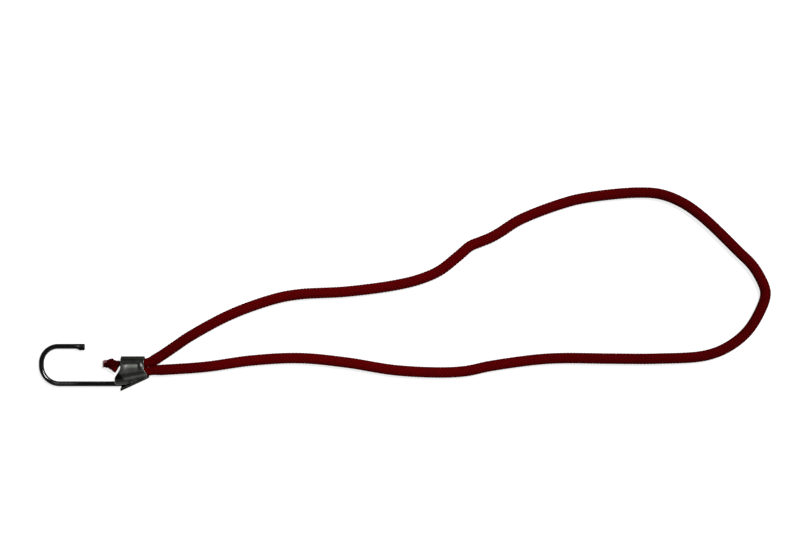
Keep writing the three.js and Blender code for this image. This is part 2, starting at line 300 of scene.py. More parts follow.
class Route:
    """A smooth line through points, on which places are found by their length from its start."""

    SAMPLES_PER_SPAN = 60

    def __init__(self, points):
        self.line = self.through(np.array(points, float))
        steps = np.linalg.norm(np.diff(self.line, axis=0), axis=1)
        self.lengths = np.concatenate([[0], np.cumsum(steps)])
        self.total = self.lengths[-1]

    def through(self, points):
        """Centripetal spline through the points, as in the solids."""
        p = np.vstack([2 * points[0] - points[1], points, 2 * points[-1] - points[-2]])
        gap = np.sqrt(np.linalg.norm(np.diff(p, axis=0), axis=1))
        t = (np.arange(self.SAMPLES_PER_SPAN) / self.SAMPLES_PER_SPAN)[:, None]
        spans = []
        for i in range(1, len(p) - 2):
            a, b = p[i], p[i + 1]
            before, here, after = gap[i - 1:i + 2]
            leave = here * ((a - p[i - 1]) / before - (b - p[i - 1]) / (before + here) + (b - a) / here)
            arrive = here * ((b - a) / here - (p[i + 2] - a) / (here + after) + (p[i + 2] - b) / after)
            square = 3 * (b - a) - 2 * leave - arrive
            cube = 2 * (a - b) + leave + arrive
            spans.append(a + leave * t + square * t**2 + cube * t**3)
        return np.vstack([*spans, points[-1:]])

    def at(self, lengths):
        """Points and directions at these lengths."""
        along = np.gradient(self.line, self.lengths, axis=0)
        direction = self.pick(along, lengths)
        return self.pick(self.line, lengths), direction / np.linalg.norm(direction, axis=1, keepdims=True)

    def pick(self, values, lengths):
        """Values that are known along the line, at these lengths."""
        return np.stack([np.interp(lengths, self.lengths, v) for v in values.T], axis=-1)


# Share of the yarns' relief that stands off the tube that the cord is measured by.
CROWN_SHARE = 0.3


class CordPlaces:
    """Places along the cord, with the ways across and through it and the section's scale along each."""

    def __init__(self, cord, layout):
        self.cord = cord
        self.layout = layout
        z = layout.clamped_z
        tip = layout.tail_tip_x
        upper_clamp = [(tip + from_tip, layout.upper_y - drop, z) for from_tip, drop, *_ in TAIL_SHAPE]
        upper_clamp.append((layout.fold_half, layout.upper_y, z))
        lower_clamp = [
            (layout.fold_half, -layout.upper_y, z),
            (0, -layout.upper_y, z),
            (-layout.fold_half - SHORT_TAIL, -layout.upper_y - SHORT_TAIL_DROP, z),
        ]
        free = [self.laid(x, y) for x, y in UPPER_LEG + BIGHT + LOWER_LEG]
        self.route = Route(upper_clamp + free + lower_clamp)

    def laid(self, x, y):
        """The free cord comes down from where it is clamped to the surface that it lies on."""
        mouth = self.layout.fold_half
        landed = smooth_step(mouth, mouth + LANDING_LENGTH, x)
        return x, y, lerp(self.layout.clamped_z, self.cord.diameter / 2, landed)

    def free(self, points):
        """0 where the ferrule presses the cord and 1 where it is round again."""
        mouth = np.where(points[:, 1] > 0, self.layout.fold_half, TROUGH_RIGHT)
        return smooth_step(mouth, mouth + RELAX_LENGTH, points[:, 0])

    def scale(self, points):
        """The section's scale across and through: pressed in the ferrule and crushed at the long tail."""
        free = self.free(points)
        is_upper = points[:, 1] > 0
        from_tip = np.where(is_upper, points[:, 0] - self.layout.tail_tip_x, LONG_TAIL + GRIP_DEPTH)
        across, through = (np.interp(from_tip, TAIL_SHAPE[:, 0], scale) for scale in TAIL_SHAPE.T[2:])
        return lerp(across, 1, free), lerp(through, 1, free)

    def at(self, lengths):
        """Centre, sideways and upward steps of the section at these lengths, the steps scaled."""
        centre, along = self.route.at(np.asarray(lengths, float))
        across, through = self.scale(centre)
        lowest = through * self.cord.diameter / 2 + self.proud(centre)
        centre[:, 2] = np.maximum(centre[:, 2], lowest)
        along[(centre[:, 0] < 0) & (centre[:, 1] > 0)] = (1, 0, 0)
        side = np.cross((0, 0, 1), along)
        side /= np.linalg.norm(side, axis=1, keepdims=True)
        up = np.cross(along, side)
        return centre, side * across[:, None], up * through[:, None]

    def proud(self, points):
        """How far the crowns of the yarns stand off the tube that the cord is measured by."""
        return CROWN_SHARE * self.cord.relief * self.free(points)

    def crowded(self, points):
        """How far the inner side of a leg swells towards the other leg."""
        return CROWDING * within(CROWDING_START, CROWDING_END, points[:, 0])

    def rings(self, lengths, section):
        """Points of the section, given as sideways and upward pairs, carried to each of these lengths."""
        centre, side, up = self.at(lengths)
        section = np.asarray(section)
        sideways, upward = section[..., 0:1], section[..., 1:2]
        swollen = 1 + self.crowded(centre)[:, None, None] * (sideways < 0)
        return centre[:, None] + side[:, None] * sideways * swollen + up[:, None] * upward


class Braid:
    """Skin of a tubular braid in which each yarn goes over two yarns of the other way and under two.

    Points lie ring after ring, every other ring turned by half a step, so that faces follow the yarns.
    first counts along the yarns that wind one way and second along the others, in steps of a yarn's width.
    """

    STEPS = 3
    ROUNDNESS = 0.6
    FLOAT_FULLNESS = 4

    def __init__(self, cord, total):
        self.around = cord.yarns * self.STEPS
        spacing = cord.lead / (2 * self.around)
        self.rings = round(total / spacing) + 1
        self.lengths = np.linspace(0, total, self.rings)
        ring, place = np.mgrid[0:self.rings, 0:self.around]
        self.turn = (place + (ring % 2) / 2) / self.around * 2 * math.pi
        first = place - ring // 2
        self.first = first / self.STEPS
        self.second = (first + ring) / self.STEPS

    def relief(self):
        """Height of the skin, from 0 in the gaps to 1 on the crown of a yarn."""
        one_way = self.hump(self.first) * self.over(((self.second + np.floor(self.first)) % 4) / 2)
        other_way = self.hump(self.second) * self.over(((self.first + np.floor(self.second)) % 4) / 2 - 1)
        return np.maximum(one_way, other_way)

    def hump(self, across):
        """Height of a yarn across its width."""
        return (4 * (across % 1) * (1 - across % 1)) ** self.ROUNDNESS

    def over(self, along):
        """Height of a yarn along the stretch, from 0 to 1, where it goes over two others."""
        inside = (along > 0) & (along < 1)
        return np.where(inside, 1 - np.abs(2 * along - 1) ** self.FLOAT_FULLNESS, 0)

    def faces(self):
        """Diamonds between the rings, and the triangles that make both ends straight."""
        ring, place = (v.ravel() for v in np.mgrid[1:self.rings - 1, 0:self.around])
        diamonds = np.stack([
            self.index(ring, place),
            self.index(ring - 1, place + ring % 2),
            self.index(ring, place + 1),
            self.index(ring + 1, place + ring % 2),
        ], axis=1)
        place = np.arange(self.around)
        last = self.rings - 1
        start = [self.index(0, place), self.index(0, place + 1), self.index(1, place)]
        end = [self.index(last, place), self.index(last - 1, place + last % 2), self.index(last, place + 1)]
        return diamonds, np.concatenate([np.stack(start, axis=1), np.stack(end, axis=1)])

    def index(self, ring, place):
        """Number of the point at this place of a ring."""
        return ring * self.around + place % self.around

    def yarn_places(self, diamonds):
        """For each corner of each diamond, its place along and across the yarn that is on top."""
        corner_first = self.first.ravel()[diamonds[:, :1]] + np.array([0, 1, 1, 0]) / self.STEPS
        corner_second = self.second.ravel()[diamonds[:, :1]] + np.array([0, 0, 1, 1]) / self.STEPS
        one_way = self.first_on_top(diamonds)[:, None]
        along = np.where(one_way, corner_second, corner_first)
        across = np.where(one_way, corner_first, corner_second + self.rings)
        return np.stack([along, across], axis=-1)

    def first_on_top(self, diamonds):
        """Whether the yarn that winds the first way is on top at each diamond."""
        corner = diamonds[:, 0]
        return (np.floor(self.first.ravel()[corner]) + np.floor(self.second.ravel()[corner])) % 4 < 2

    def creases(self, diamonds):
        """Pairs of points along the edges of the yarns, where one passes under or lies beside another."""
        corner = diamonds[:, 0]
        first, second = self.first.ravel()[corner], self.second.ravel()[corner]
        cell = (np.floor(first) + np.floor(second)) % 4
        at_first_edge = (first % 1 == 0) & (cell != 3)
        at_second_edge = (second % 1 == 0) & (cell != 1)
        return np.concatenate([diamonds[at_first_edge][:, [0, 3]], diamonds[at_second_edge][:, [0, 1]]])


def make_sheath(cord, places):
    """The braided sheath from tip to tip, with its bore and cut ends."""
    braid = Braid(cord, places.route.total)
    relief = braid.relief()
    proud = places.proud(places.route.at(braid.lengths)[0])
    radius = cord.diameter / 2 - cord.relief * (1 - relief) + proud[:, None]
    section = np.stack([radius * np.cos(braid.turn), radius * np.sin(braid.turn)], axis=-1)
    skin = places.rings(braid.lengths, section).reshape(-1, 3)
    bore_lengths = core_lengths(places)
    bore_radius = cord.diameter / 2 - cord.wall
    turns = np.stack([braid.turn[0], braid.turn[(braid.rings - 1) % 2]])
    share = (bore_lengths / places.route.total)[:, None]
    turn = lerp(turns[0], turns[1], share)
    bore_section = bore_radius * np.stack([np.cos(turn), np.sin(turn)], axis=-1)
    bore = places.rings(bore_lengths, bore_section).reshape(-1, 3)
    diamonds, triangles = braid.faces()
    inside = [face[::-1] for face in tube_faces(len(bore_lengths), braid.around, closed=False)]
    inside = (np.array(inside) + len(skin)).tolist()
    last_skin = len(skin) - braid.around
    last_bore = len(skin) + len(bore) - braid.around
    rims = []
    for i in range(braid.around):
        j = (i + 1) % braid.around
        rims.append((j, i, len(skin) + i, len(skin) + j))
        rims.append((last_skin + i, last_skin + j, last_bore + j, last_bore + i))
    sheath = new_piece(
        "cord_sheath", np.vstack([skin, bore]), diamonds.tolist() + triangles.tolist() + inside + rims
    )
    soil = darkening_with_shade(places, skin, braid.turn)
    set_attribute(sheath, "relief", np.concatenate([relief.ravel(), np.zeros(len(bore))]))
    set_attribute(sheath, "soil", np.concatenate([soil, np.zeros(len(bore))]))
    corners = braid.yarn_places(diamonds).reshape(-1, 2)
    uv = np.zeros((len(sheath.data.loops), 2), np.float32)
    uv[:len(corners)] = corners
    sheath.data.uv_layers.new(name="yarn").data.foreach_set("uv", uv.ravel())
    mark_creases(sheath.data, braid.creases(diamonds))
    return sheath


# How much darker the yarn is painted on the upper and lower sides of the long tail, where the lower side's
# extra darkness is painted shade, and on the cord by the clip and at the far end.
# The sides go over into each other between two shares of the way from the middle line down.
TAIL_DARKENING = (0.6, 0.88)
TAIL_SIDES = (-0.3, 0.8)
TAIL_BLUR = 0.001
CLIP_DARKENING = 0.2
CLIP_DARKENING_END = (0.03, 0.06)
FAR_DARKENING = 0.33
FAR_DARKENING_START = (0.15, 0.34)


def darkening_with_shade(places, skin, turn):
    """How much darker the yarn is painted: most on the tail's lower side, where it is painted shade, least
    half way along the legs.
    """
    x, y = skin[:, 0], skin[:, 1]
    mouth = -places.layout.fold_half
    on_tail = (1 - smooth_step(mouth - TAIL_BLUR, mouth + TAIL_BLUR, x)) * (y > 0)
    # Painted shade: the tail's lower side is darker than its upper side.
    lower = smooth_step(*TAIL_SIDES, -np.cos(turn.ravel()))
    by_clip = CLIP_DARKENING * (1 - smooth_step(*CLIP_DARKENING_END, x))
    far = FAR_DARKENING * smooth_step(*FAR_DARKENING_START, x)
    return lerp(np.maximum(by_clip, far), lerp(*TAIL_DARKENING, lower), on_tail)


def mark_creases(mesh, pairs):
    """Makes the edges between these pairs of points sharp."""
    ends = np.zeros(len(mesh.edges) * 2, np.int64)
    mesh.edges.foreach_get("vertices", ends)

    def key(pair):
        return pair.min(axis=1) * len(mesh.vertices) + pair.max(axis=1)

    sharp = np.isin(key(ends.reshape(-1, 2)), key(pairs.astype(np.int64)))
    mesh.attributes.new("sharp_edge", "BOOLEAN", "EDGE").data.foreach_set("value", sharp)


# Distance between the rings of the bore and the threads, on the free cord and in the ferrule.
CORE_STEP = 0.0075
CLAMPED_STEP = 0.0015


def core_lengths(places):
    """Lengths at which the bore and the rubber threads have a ring, close together in the ferrule."""
    total = places.route.total
    clamped = places.layout.fold_half * 2 + LONG_TAIL + RELAX_LENGTH
    free = np.linspace(clamped, total - clamped, round((total - 2 * clamped) / CORE_STEP))
    ends = np.linspace(0, clamped, round(clamped / CLAMPED_STEP))
    return np.concatenate([ends[:-1], free, total - ends[-2::-1]])


def thread_centres(cord):
    """Distance from the axis and angle of each square thread, packed in rings from the bore inwards."""
    half = cord.thread_side / 2
    room = cord.diameter / 2 - cord.wall - cord.thread_gap
    centres = []
    while room > math.hypot(half, half):
        inner = math.sqrt(room**2 - half**2) - cord.thread_side
        if inner <= 0:
            return centres + [(0, 0)]
        reach = math.hypot(inner, half)
        half_turn = math.atan2(half, inner) + math.asin(min(1, cord.thread_gap / 2 / reach))
        count = math.floor(math.pi / half_turn)
        centres += [(inner + half, 2 * math.pi * i / count) for i in range(count)]
        room = inner - cord.thread_gap
    return centres


def make_threads(cord, places):
    """The square cut rubber threads of the core, each from one clamped end round to the other."""
    lengths = core_lengths(places)
    first, last = LONG_RETREAT, places.route.total - SHORT_RETREAT
    lengths = np.concatenate([[first], lengths[(lengths > first) & (lengths < last)], [last]])
    half = cord.thread_side / 2
    corners = np.array([(-half, -half), (half, -half), (half, half), (-half, half)])
    threads = []
    for i, (radius, turn) in enumerate(thread_centres(cord)):
        x, y = corners[:, 0] + radius, corners[:, 1]
        section = np.stack(
            [x * math.cos(turn) - y * math.sin(turn), x * math.sin(turn) + y * math.cos(turn)], axis=-1
        )
        points = places.rings(lengths, section).reshape(-1, 3)
        faces = tube_faces(len(lengths), len(corners))
        threads.append(new_piece(f"rubber_thread_{i + 1:02d}", points, faces, smooth=False))
    return threads


# Frayed tail

# Loose yarn ends round the cut: how many, how far from it they start, how long they are, how much they
# spread, and the shares of the sheath's wall between which they lie.
FRAY_COUNT = 260
FRAY_DEPTHS = (0.0002, 0.0006)
FRAY_LENGTHS = (0.0004, 0.0013)
FRAY_SPREAD = 0.55
FRAY_LAYERS = (0.2, 0.9)

# A tuft of pale fibres that lies back over the upper edge of the cut.
TUFT_COUNT = 110
TUFT_TURNS = (math.radians(-5), math.radians(70))
TUFT_DEPTHS = (0, 0.0018)
TUFT_LENGTHS = (0.0004, 0.0012)
TUFT_SPREAD = 0.7
TUFT_PALENESS = (0.4, 1)

# One fibre: its radius, the share of it that is lost towards the tip, and how far it bends outward.
FIBRE_RADIUS = 0.00008
FIBRE_TAPER = 0.6
FIBRE_BEND = (-0.3, 1)
FIBRE_STEPS = 5
FIBRE_SIDES = 4
FIBRE_SEED = 11


def make_fray(cord, places):
    """Loose fibres round the cut end of the long tail and the pale tuft on it."""
    draw = random.Random(FIBRE_SEED)
    points, faces, pale = [], [], []

    def add_fibre(turn, depth, radius, length, spread, is_pale):
        centre, side, up = (v[0] for v in places.at([depth]))
        away = np.cross(up, side)
        away /= np.linalg.norm(away)
        outward = side * math.cos(turn) + up * math.sin(turn)
        across = np.cross(away, outward)
        bend = outward * draw.uniform(*FIBRE_BEND) * spread + across * draw.uniform(-1, 1) * spread
        first = len(points)
        for t in np.linspace(0, 1, FIBRE_STEPS):
            place = centre + outward * radius + length * (away * t + bend * t * t)
            thin = FIBRE_RADIUS * (1 - FIBRE_TAPER * t)
            for angle in np.arange(FIBRE_SIDES) * 2 * math.pi / FIBRE_SIDES:
                points.append(place + thin * (outward * math.cos(angle) + across * math.sin(angle)))
                pale.append(is_pale)
        faces.extend(tuple(first + i for i in face) for face in tube_faces(FIBRE_STEPS, FIBRE_SIDES))

    for _ in range(FRAY_COUNT):
        turn, depth = draw.uniform(0, 2 * math.pi), draw.uniform(*FRAY_DEPTHS)
        radius = cord.diameter / 2 - draw.uniform(*FRAY_LAYERS) * cord.wall
        add_fibre(turn, depth, radius, draw.uniform(*FRAY_LENGTHS), FRAY_SPREAD, 0)
    for _ in range(TUFT_COUNT):
        turn, depth = draw.uniform(*TUFT_TURNS), draw.uniform(*TUFT_DEPTHS)
        length = draw.uniform(*TUFT_LENGTHS)
        add_fibre(turn, depth, cord.diameter / 2, length, TUFT_SPREAD, draw.uniform(*TUFT_PALENESS))
    fray = new_piece("tail_fray", points, faces)
    set_attribute(fray, "pale", pale)
    return fray


# Hook

WIRE_SIDES = 40
WIRE_STEP = math.radians(6)
TIP_CHAMFER = 0.0003
TIP_RINGS = 13
SHANK_RINGS = 18

# The swaged tip and the start of the shank are rubbed dull. The ends of each stretch are soft.
DULL_TIP = (SWAGE_LENGTH, 1.2 * SWAGE_LENGTH)
DULL_SHANK_START = (-0.0495, -0.0465)
DULL_SHANK_END = (-0.036, -0.031)


def arc_points(centre, radius, start, end):
    """Points of an arc from one angle to another."""
    count = max(2, math.ceil(abs(end - start) / WIRE_STEP))
    angles = np.linspace(start, end, count + 1)
    return [(centre[0] + radius * math.cos(a), centre[1] + radius * math.sin(a)) for a in angles]


def hook_path(hook, layout):
    """Middle line of the wire from its tip, round the two bends, to its kinked end in the ferrule."""
    bend_x = -hook.reach
    arm_y = layout.shank_y + hook.opening + hook.wire
    limit = (hook.opening + hook.wire) / 2
    upper, lower = min(UPPER_BEND, limit), min(LOWER_BEND, limit)
    edge_rise = layout.trough_y - layout.wire_hold + layout.fold_y + layout.fold_radius
    slope = math.atan2(-edge_rise, TROUGH_RIGHT - TROUGH_LEFT)
    drop = CORNER_DROP + layout.wire_hold - layout.wire_hold / math.cos(slope)
    kink_x = TROUGH_LEFT + drop / math.tan(slope)
    kink_run = KINK_RADIUS * math.tan(slope / 2)
    quarter = math.pi / 2
    tip_x = bend_x + hook.tip_reach
    tip = [(tip_x - run, arm_y) for run in np.linspace(0, DULL_TIP[1], TIP_RINGS)]
    upper_bend = arc_points((bend_x + upper, arm_y - upper), upper, quarter, 2 * quarter)
    lower_bend = arc_points((bend_x + lower, layout.shank_y + lower), lower, 2 * quarter, 3 * quarter)
    kink = arc_points(
        (kink_x - kink_run, layout.shank_y + KINK_RADIUS), KINK_RADIUS, -quarter, slope - quarter
    )
    shank_x = np.linspace(bend_x + lower, kink_x - kink_run, SHANK_RINGS)
    shank = [(x, layout.shank_y) for x in shank_x[1:-1]]
    end = (kink_x + KINK_LENGTH * math.cos(slope), layout.shank_y + KINK_LENGTH * math.sin(slope))
    return np.array(tip + upper_bend + lower_bend + shank + kink + [end])


def with_chamfers(values):
    """Values along the wire, the first and the last repeated for the rings of the chamfers."""
    return np.concatenate([values[:1], values, values[-1:]])


def make_hook(hook, layout):
    """The wire, with its tip swaged wider towards the throat and both ends chamfered."""
    path = hook_path(hook, layout)
    along = np.gradient(path, axis=0)
    along /= np.linalg.norm(along, axis=1, keepdims=True)
    on_arm = path[:, 1] == path[0, 1]
    from_tip = np.linalg.norm(path - path[0], axis=1)
    swaged = np.where(on_arm, 1 - smooth_step(SWAGE_LENGTH / 2, SWAGE_LENGTH, from_tip), 0)
    dull_tip = np.where(on_arm, 1 - smooth_step(*DULL_TIP, from_tip), 0)
    x, y = path.T
    dull_shank = within(DULL_SHANK_START, DULL_SHANK_END, x) * (y < 0)
    path[:, 1] -= SWAGE_WIDENING * swaged / 2
    path, along, wider, dull_tip, dull_shank = (
        with_chamfers(v) for v in (path, along, SWAGE_WIDENING * swaged / hook.wire, dull_tip, dull_shank)
    )
    path[1] += along[1] * TIP_CHAMFER
    path[-2] -= along[-2] * TIP_CHAMFER
    chamfer = np.zeros(len(path))
    chamfer[[0, -1]] = TIP_CHAMFER / layout.wire_radius
    points = []
    for (x, y), (dx, dy), wide, cut in zip(path, along, wider, chamfer):
        for i in range(WIRE_SIDES):
            angle = 2 * math.pi * (i + 0.5) / WIRE_SIDES
            across = layout.wire_radius * math.cos(angle) * (1 + wide - cut)
            height = layout.wire_radius * math.sin(angle) * (1 - wide - cut)
            points.append((x - dy * across, y + dx * across, layout.wire_z + height))
    piece = new_piece("hook_wire", points, tube_faces(len(path), WIRE_SIDES))
    for face in piece.data.polygons[-2:]:
        face.use_smooth = False
    set_attribute(piece, "wear", np.repeat(chamfer > 0, WIRE_SIDES))
    set_attribute(piece, "dull", np.repeat(np.maximum(dull_tip, dull_shank), WIRE_SIDES))
    set_attribute(piece, "dark", np.repeat(dull_tip, WIRE_SIDES))
    return piece


# Ferrule

# Steps of the mesh along the strip and across it.
BEND_STEPS = 8
PLATE_STEPS = 22
ARC_STEPS = 28
BACK_STEPS = 14
LENGTH_STEPS = 44
EDGE_ROUNDING = 0.00016

# What a row of the strip holds in place of its share of the front plate where it lies off the plate.
OFF_PLATE = -1
IN_TROUGH = -2

# The crimp's dent, in shares of the plate from the lip's bend to the fold and of the ferrule's length.
DENT_START = (0, 0.15)
DENT_RISE = (0.1, 0.9)
DENT_REST = 0.25
DENT_EDGE = (0.86, 0.98)
DENT_LEFT = (0.06, 0.3)
DENT_RIGHT = (0.76, 0.85)

# How far the plate rolls in at its mouth, and the share of its length where that starts.
MOUTH_ROLL = 0.0004
MOUTH_START = 0.86


def ferrule_end(layout, fold_x, flare, lip, bend_y, trough):
    """One end of the strip as rows of x, y, z, the way off the sheet in y and z, plate share and lip share.

    It runs from the front lip over the fold, down the flat back, and round the trough to the flap's edge.
    """
    rows = []

    def add(x, y, z, angle, front=OFF_PLATE, sag=0):
        rows.append((x, y, z, math.cos(angle), math.sin(angle), front, sag))

    def edge_x(y):
        return lerp(fold_x, lip[0], smooth_step(*flare, (layout.fold_y - y) / (layout.fold_y - lip[1])))

    up = math.pi / 2
    tilt = math.atan2(layout.front_z - lip[2], bend_y - lip[1])
    from_lip = Vector((bend_y - LIP_BEND * math.cos(tilt), layout.front_z - LIP_BEND * math.sin(tilt)))
    corner = Vector((bend_y, layout.front_z))
    to_plate = Vector((bend_y + LIP_BEND, layout.front_z))
    for i in range(BEND_STEPS):
        t = i / BEND_STEPS
        y, z = lerp(lip[1], from_lip.x, t), lerp(lip[2], from_lip.y, t)
        add(lerp(lip[0], edge_x(from_lip.x), t), y, z, up + tilt, sag=(1 - t) ** 2)
    for i in range(BEND_STEPS + 1):
        t = i / BEND_STEPS
        place = from_lip.lerp(corner, t).lerp(corner.lerp(to_plate, t), t)
        add(edge_x(place.x), place.x, place.y, up + tilt * (1 - t))
    for i in range(1, PLATE_STEPS):
        share = i / PLATE_STEPS
        y = lerp(bend_y + LIP_BEND, layout.fold_y, share)
        add(edge_x(y), y, layout.front_z, up, front=share)
    for i in range(ARC_STEPS + 1):
        angle = up - math.pi * i / ARC_STEPS
        z = layout.back_z + layout.fold_radius * (1 + math.sin(angle))
        add(fold_x, layout.fold_y + layout.fold_radius * math.cos(angle), z, angle)
    trough_x, trough_y, radius, flap = trough
    for i in range(1, BACK_STEPS):
        share = i / BACK_STEPS
        add(lerp(fold_x, trough_x, share), lerp(layout.fold_y, trough_y, share), layout.back_z, -up)
    for i in range(ARC_STEPS + 1):
        angle = lerp(-up, flap - 2 * math.pi, i / ARC_STEPS)
        y, z = trough_y + radius * math.cos(angle), layout.back_z + radius * (1 + math.sin(angle))
        add(trough_x, y, z, angle, front=IN_TROUGH)
    return np.array(rows)


def crimp_dent(ferrule, front, u):
    """Depth of the crimp: a groove under the fold that runs out over the plate and towards both ends."""
    plate = np.clip(front, 0, 1)
    groove = 1 - smooth_step(*DENT_EDGE, plate)
    rising = lerp(DENT_REST, 1, smooth_step(*DENT_RISE, plate))
    start = smooth_step(*DENT_START, plate)
    depth = np.where(front >= 0, groove * rising * start, 0)
    return ferrule.crimp_depth * depth[:, None] * within(DENT_LEFT, DENT_RIGHT, u)[None]


# Painted highlights, which also stand for marks that the crimp tool rubs bright, and a patch by the mouth
# painted darker: the left, right, lower and upper ends of each, with where it starts and where it is full,
# and its strength.
HIGHLIGHT_MARKS = [
    ((-0.0046, -0.0024), (0.0036, 0.0027), (-0.0008, 0.0012), (0.0028, 0.0016), 0.45),
    ((0.0046, 0.005), (0.0062, 0.0056), (0.0002, 0.0012), (0.0034, 0.0026), 1),
]
DARKER_MOUTH_PATCH = ((0.0044, 0.0052), (0.0078, 0.007), (-0.0034, -0.0022), (0.0008, -0.0002), 0.6)

# Lines from above: painted shade on the right of the first, where the bent corner turns away from the
# light, and a painted highlight along the second, at the lip's bend.
CORNER_LINE = ((-0.0068, -0.003), (-0.0028, -0.0088))
CORNER_BLUR = 0.0013
CORNER_PAINTED_SHADE = 0.9
BEND_LINE = ((-0.0048, -0.0068), (0.0084, -0.0041))
BEND_WIDTH = 0.0014
BEND_HIGHLIGHT = 0.5

# The lip's edge has a painted highlight up to its left end, and the fold and the trough have painted shade.
EDGE_START = (0.3, 0.6)
EDGE_END = (-0.0035, -0.002)
EDGE_HIGHLIGHT = 0.25
FOLD_BLUR = 0.0006
FOLD_PAINTED_SHADE = 0.7
TROUGH_PAINTED_SHADE = 0.92


def across_line(line, x, y):
    """Distance of each place from a line through two points, over 0 on the right of it."""
    (x0, y0), (x1, y1) = line
    return ((x - x0) * (y1 - y0) - (y - y0) * (x1 - x0)) / math.hypot(x1 - x0, y1 - y0)


def patch(mark, x, y):
    """How strongly a soft-edged mark covers each place."""
    left, right, low, high, strength = mark
    across = smooth_step(*left, x) * smooth_step(*right, x)
    return strength * across * smooth_step(*low, y) * smooth_step(*high, y)


def painted_highlights_and_shade(layout, middle, front, lip):
    """How strongly each place of the sheet has a painted highlight, and how dark it is painted: painted
    shade on the fold, corner and trough, and a darker patch by the mouth.
    """
    x, y, z = (middle[..., i] for i in range(3))
    on_plate = (front >= 0)[:, None]
    in_trough = (front == IN_TROUGH)[:, None]
    above_back = z > layout.back_z * 2
    corner = smooth_step(0, CORNER_BLUR, across_line(CORNER_LINE, x, y)) * (1 - lip[:, None])
    bend = 1 - smooth_step(0, BEND_WIDTH, np.abs(across_line(BEND_LINE, x, y)))
    edge = smooth_step(*EDGE_START, lip)[:, None] * (1 - smooth_step(*EDGE_END, x))
    fold = smooth_step(layout.fold_y - FOLD_BLUR, layout.fold_y + FOLD_BLUR, y)
    bright = [patch(mark, x, y) * on_plate for mark in HIGHLIGHT_MARKS]
    bright += [BEND_HIGHLIGHT * bend * (1 - corner) * ~in_trough * above_back, EDGE_HIGHLIGHT * edge]
    dark = [
        FOLD_PAINTED_SHADE * fold * above_back,
        CORNER_PAINTED_SHADE * corner * ~in_trough,
        patch(DARKER_MOUTH_PATCH, x, y) * on_plate,
        TROUGH_PAINTED_SHADE * in_trough * np.ones(x.shape),
    ]
    return np.max(bright, axis=0), np.max(dark, axis=0)


def make_ferrule(ferrule, layout):
    """The folded strip with its crimp, its lip over the wire and the trough round it, edges rounded."""
    radius = layout.fold_radius
    lip_y = -layout.fold_y + radius * math.cos(LIP_ANGLE)
    lip_z = layout.back_z + radius * (1 + math.sin(LIP_ANGLE))
    left = ferrule_end(
        layout,
        -layout.fold_half,
        LEFT_FLARE,
        (LIP_LEFT, layout.shank_y + LIP_OVER_WIRE, layout.wire_z + layout.wire_hold),
        -layout.cord_edge - CLEARANCE,
        (TROUGH_LEFT, layout.trough_y, layout.wire_hold, CORNER_FLAP_ANGLE),
    )
    right = ferrule_end(
        layout,
        layout.fold_half,
        RIGHT_FLARE,
        (LIP_RIGHT, lip_y, lip_z),
        -layout.fold_y,
        (TROUGH_RIGHT, -layout.fold_y, radius, LIP_ANGLE + SEAM_GAP / radius),
    )
    u = np.linspace(0, 1, LENGTH_STEPS + 1)
    rows = lerp(left[:, None], right[:, None], u[None, :, None])
    front, sag = left[:, 5], left[:, 6]
    rows[..., 1] -= LIP_SAG * sag[:, None] * np.sin(math.pi * u**SAG_CURVE)[None]
    rows[..., 2] -= crimp_dent(ferrule, front, u)
    plate_middle = (front >= 0)[:, None] * np.sin(math.pi * np.clip(front, 0, 1))[:, None] ** 0.5
    rows[..., 2] -= MOUTH_ROLL * plate_middle * smooth_step(MOUTH_START, 1, u)[None] ** 2
    middle = rows[..., :3]
    out = np.zeros_like(middle)
    out[..., 1:] = rows[..., 3:5]
    out *= ferrule.sheet / 2 / np.linalg.norm(out, axis=-1, keepdims=True)
    piece = sheet_piece("ferrule_shell", middle + out, middle - out)
    rim = np.zeros(middle.shape[:2])
    rim[[0, -1]] = 1
    rim[:, [0, -1]] = 1
    set_attribute(piece, "wear", np.concatenate([rim.ravel(), rim.ravel()]))
    # Painted highlights on the plate and on the lip's bend and edge, and painted shade on the fold, corner
    # and trough, kept for the material.
    bright, dark = painted_highlights_and_shade(layout, middle, front, sag)
    set_attribute(piece, "bright", np.concatenate([bright.ravel(), 0 * bright.ravel()]))
    set_attribute(piece, "dark", np.concatenate([dark.ravel(), dark.ravel()]))
    bevel = piece.modifiers.new("rounded edges", "BEVEL")
    bevel.width = EDGE_ROUNDING
    bevel.segments = 2
    bevel.limit_method = "ANGLE"
    bevel.angle_limit = math.radians(60)
    return piece


def sheet_piece(name, outer, inner):
    """Closed sheet between two grids of points, joined along their four edges."""
    rows, columns = outer.shape[:2]
    at = np.arange(rows * columns).reshape(rows, columns)
    a, b, c, d = at[:-1, :-1], at[:-1, 1:], at[1:, 1:], at[1:, :-1]
    top = np.stack([a, b, c, d], axis=-1).reshape(-1, 4)
    under = at.size
    faces = np.concatenate([top, top[:, ::-1] + under])
    edge = np.concatenate([at[0, :-1], at[:-1, -1], at[-1, :0:-1], at[:0:-1, 0]])
    after = np.roll(edge, -1)
    rim = np.stack([after, edge, edge + under, after + under], axis=-1)
    points = np.vstack([outer.reshape(-1, 3), inner.reshape(-1, 3)])
    return new_piece(name, points, np.concatenate([faces, rim]).tolist())


# Materials


